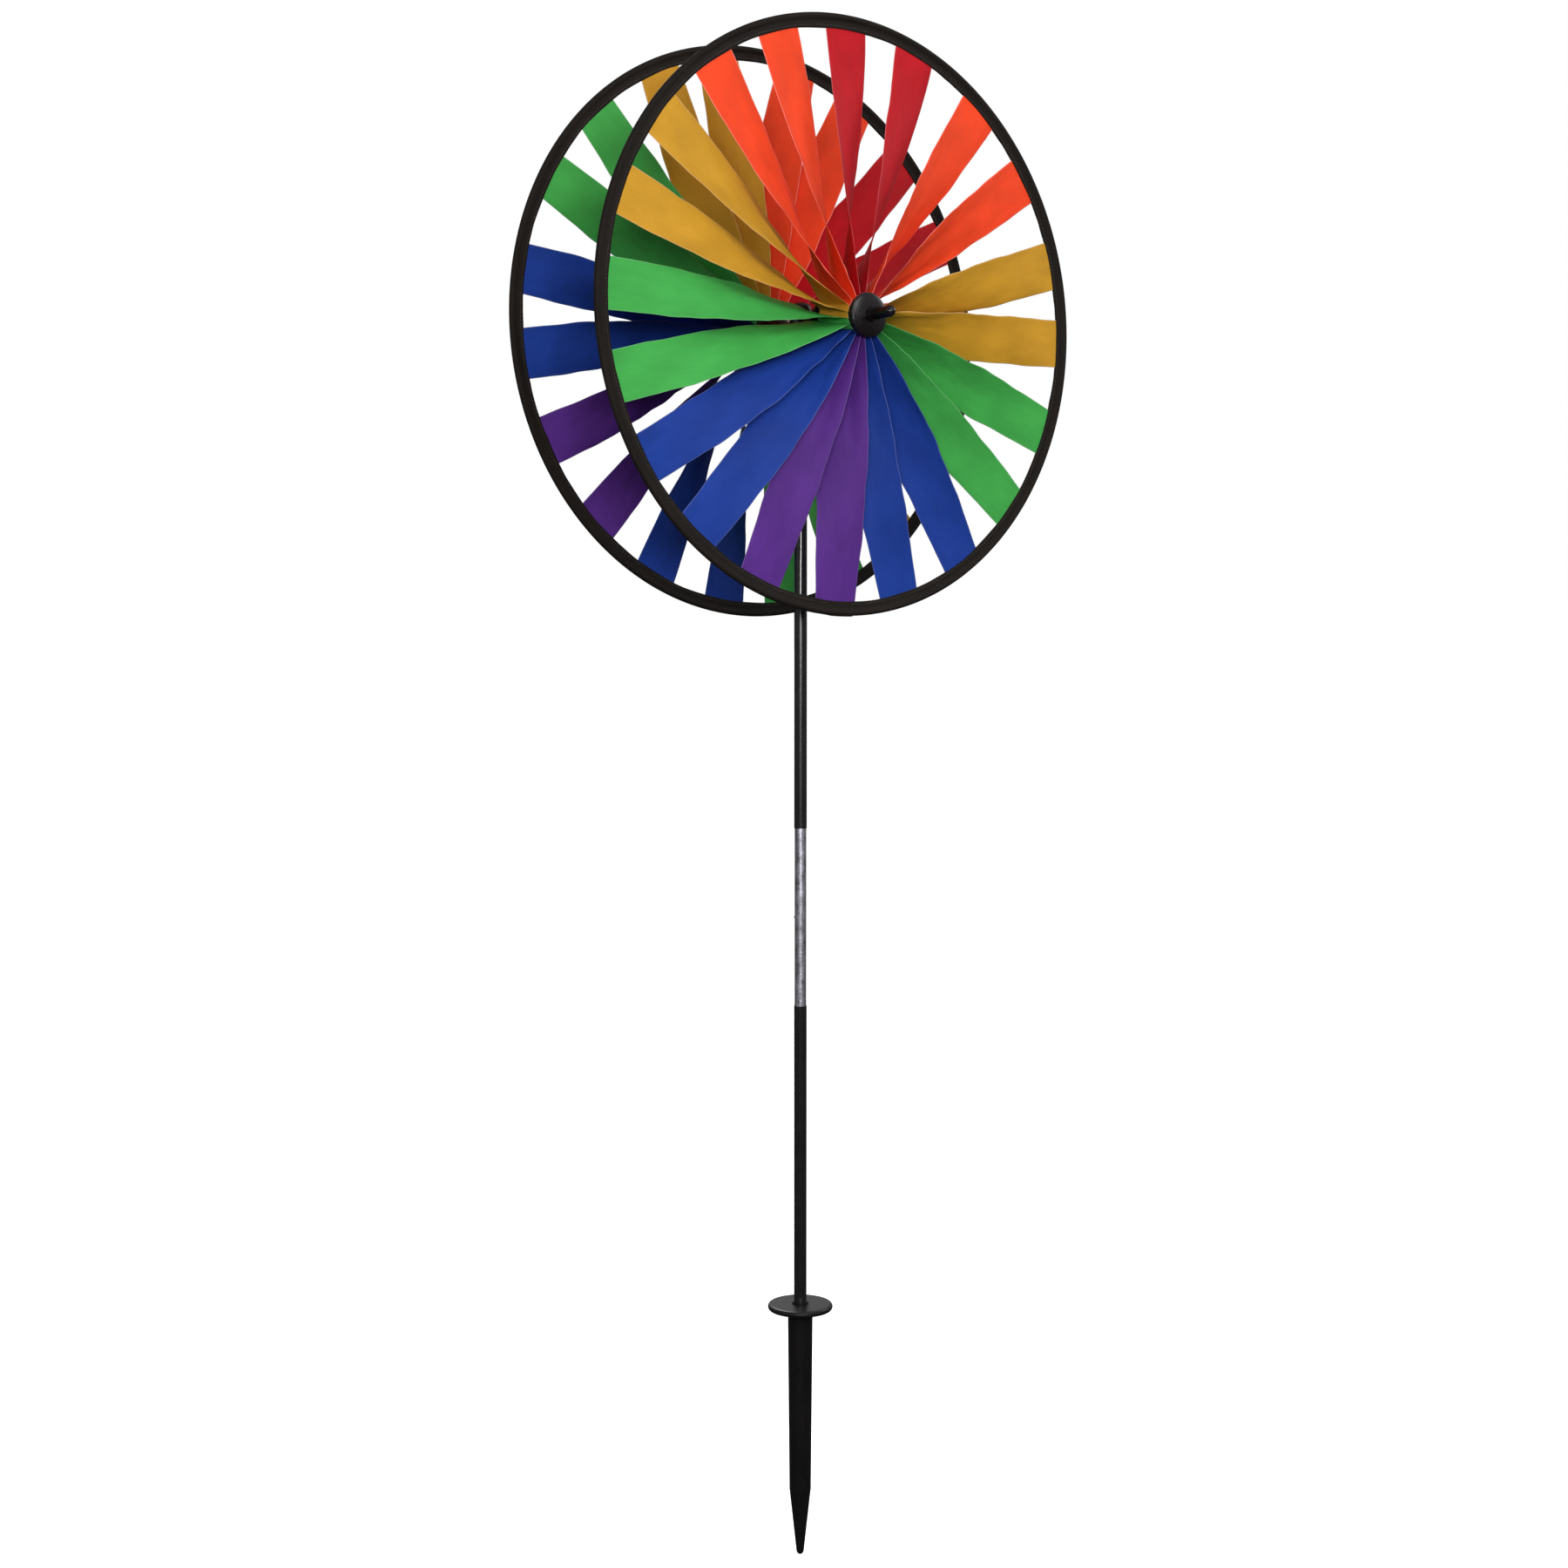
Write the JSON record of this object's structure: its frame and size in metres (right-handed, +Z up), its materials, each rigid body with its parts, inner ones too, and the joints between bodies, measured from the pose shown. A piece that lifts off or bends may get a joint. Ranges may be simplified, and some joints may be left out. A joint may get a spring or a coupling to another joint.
{
  "type": "garden pinwheel",
  "caption": "Garden wind spinner: two hooped cloth-strip wheels on one axle, on a slip-jointed pole with a flanged ground stake.",
  "frame": {"origin": "ground level on the pole's axis, at the underside of the stake's flange", "axes": "+Z up along the pole; the axle lies along Y with the front wheel towards -Y; +X completes the right-handed frame"},
  "size_m": [0.4829, 0.247, 1.295],
  "materials": {
    "stake_plastic": "moulded black plastic, satin, slightly warm",
    "pole_paint": "glossy black enamel on thin steel tube",
    "galvanised_tube": "dull mottled zinc plating",
    "head_plastic": "moulded black plastic",
    "axle_steel": "drawn steel rod",
    "cap_plastic": "glossy black push-on cap",
    "hub_plastic": "satin black moulding with a soft highlight",
    "hoop_rod": "pale pultruded glass-fibre rod",
    "ferrule_metal": "plain thin tube",
    "hem_tape": "black woven polyester tape, folded and stitched",
    "cloth_red": "bright red woven polyester, satin sheen, hot-cut edges",
    "cloth_orange": "orange woven polyester, satin sheen, hot-cut edges",
    "cloth_gold": "gold yellow woven polyester, satin sheen, hot-cut edges",
    "cloth_green": "mid green woven polyester, satin sheen, hot-cut edges",
    "cloth_blue": "royal blue woven polyester, satin sheen, hot-cut edges",
    "cloth_purple": "violet woven polyester, satin sheen, hot-cut edges"
  },
  "bodies": {
    "stake": {"ground_stake": "stake_plastic"},
    "lower_mast": {"lower_pole": "pole_paint"},
    "connector": {"pole_connector": "galvanised_tube"},
    "upper_mast": {"upper_pole": "pole_paint", "tee_head": "head_plastic", "axle_rod": "axle_steel", "front_axle_cap": "cap_plastic", "rear_axle_cap": "cap_plastic"},
    "front_wheel": {"front_rim_rod": "hoop_rod", "front_rim_ferrule": "ferrule_metal", "front_rim_sleeve": "hem_tape", "front_hub_core": "hub_plastic", "front_hub_outer_cap": "hub_plastic", "front_hub_inner_cap": "hub_plastic", "front_strip_01": "cloth_red", "front_strip_02": "cloth_red", "front_strip_03": "cloth_orange", "front_strip_04": "cloth_orange", "front_strip_05": "cloth_gold", "front_strip_06": "cloth_gold", "front_strip_07": "cloth_green", "front_strip_08": "cloth_green", "front_strip_09": "cloth_blue", "front_strip_10": "cloth_blue", "front_strip_11": "cloth_purple", "front_strip_12": "cloth_purple", "front_strip_13": "cloth_blue", "front_strip_14": "cloth_blue", "front_strip_15": "cloth_green", "front_strip_16": "cloth_green", "front_strip_17": "cloth_gold", "front_strip_18": "cloth_gold", "front_strip_19": "cloth_orange", "front_strip_20": "cloth_orange"},
    "rear_wheel": {"rear_rim_rod": "hoop_rod", "rear_rim_ferrule": "ferrule_metal", "rear_rim_sleeve": "hem_tape", "rear_hub_core": "hub_plastic", "rear_hub_outer_cap": "hub_plastic", "rear_hub_inner_cap": "hub_plastic", "rear_strip_01": "cloth_red", "rear_strip_02": "cloth_red", "rear_strip_03": "cloth_orange", "rear_strip_04": "cloth_orange", "rear_strip_05": "cloth_gold", "rear_strip_06": "cloth_gold", "rear_strip_07": "cloth_green", "rear_strip_08": "cloth_green", "rear_strip_09": "cloth_blue", "rear_strip_10": "cloth_blue", "rear_strip_11": "cloth_purple", "rear_strip_12": "cloth_purple", "rear_strip_13": "cloth_blue", "rear_strip_14": "cloth_blue", "rear_strip_15": "cloth_green", "rear_strip_16": "cloth_green", "rear_strip_17": "cloth_gold", "rear_strip_18": "cloth_gold", "rear_strip_19": "cloth_orange", "rear_strip_20": "cloth_orange"}
  },
  "joints": [
    {"name": "mast_turn", "type": "hinge", "parent": "stake", "child": "lower_mast", "pos_m": [0, 0, 0], "axis": [0, 0, 1], "continuous": true},
    {"name": "connector_slide", "type": "slide", "parent": "lower_mast", "child": "connector", "axis": [0, 0, 1], "range_m": [-0.074, 0.05]},
    {"name": "upper_pole_slide", "type": "slide", "parent": "connector", "child": "upper_mast", "axis": [0, 0, 1], "range_m": [-0.074, 0.05]},
    {"name": "front_wheel_spin", "type": "hinge", "parent": "upper_mast", "child": "front_wheel", "pos_m": [0, -0.0645, 0.837], "axis": [0, -1, 0], "continuous": true},
    {"name": "rear_wheel_spin", "type": "hinge", "parent": "upper_mast", "child": "rear_wheel", "pos_m": [0, 0.0645, 0.837], "axis": [0, -1, 0], "continuous": true}
  ]
}
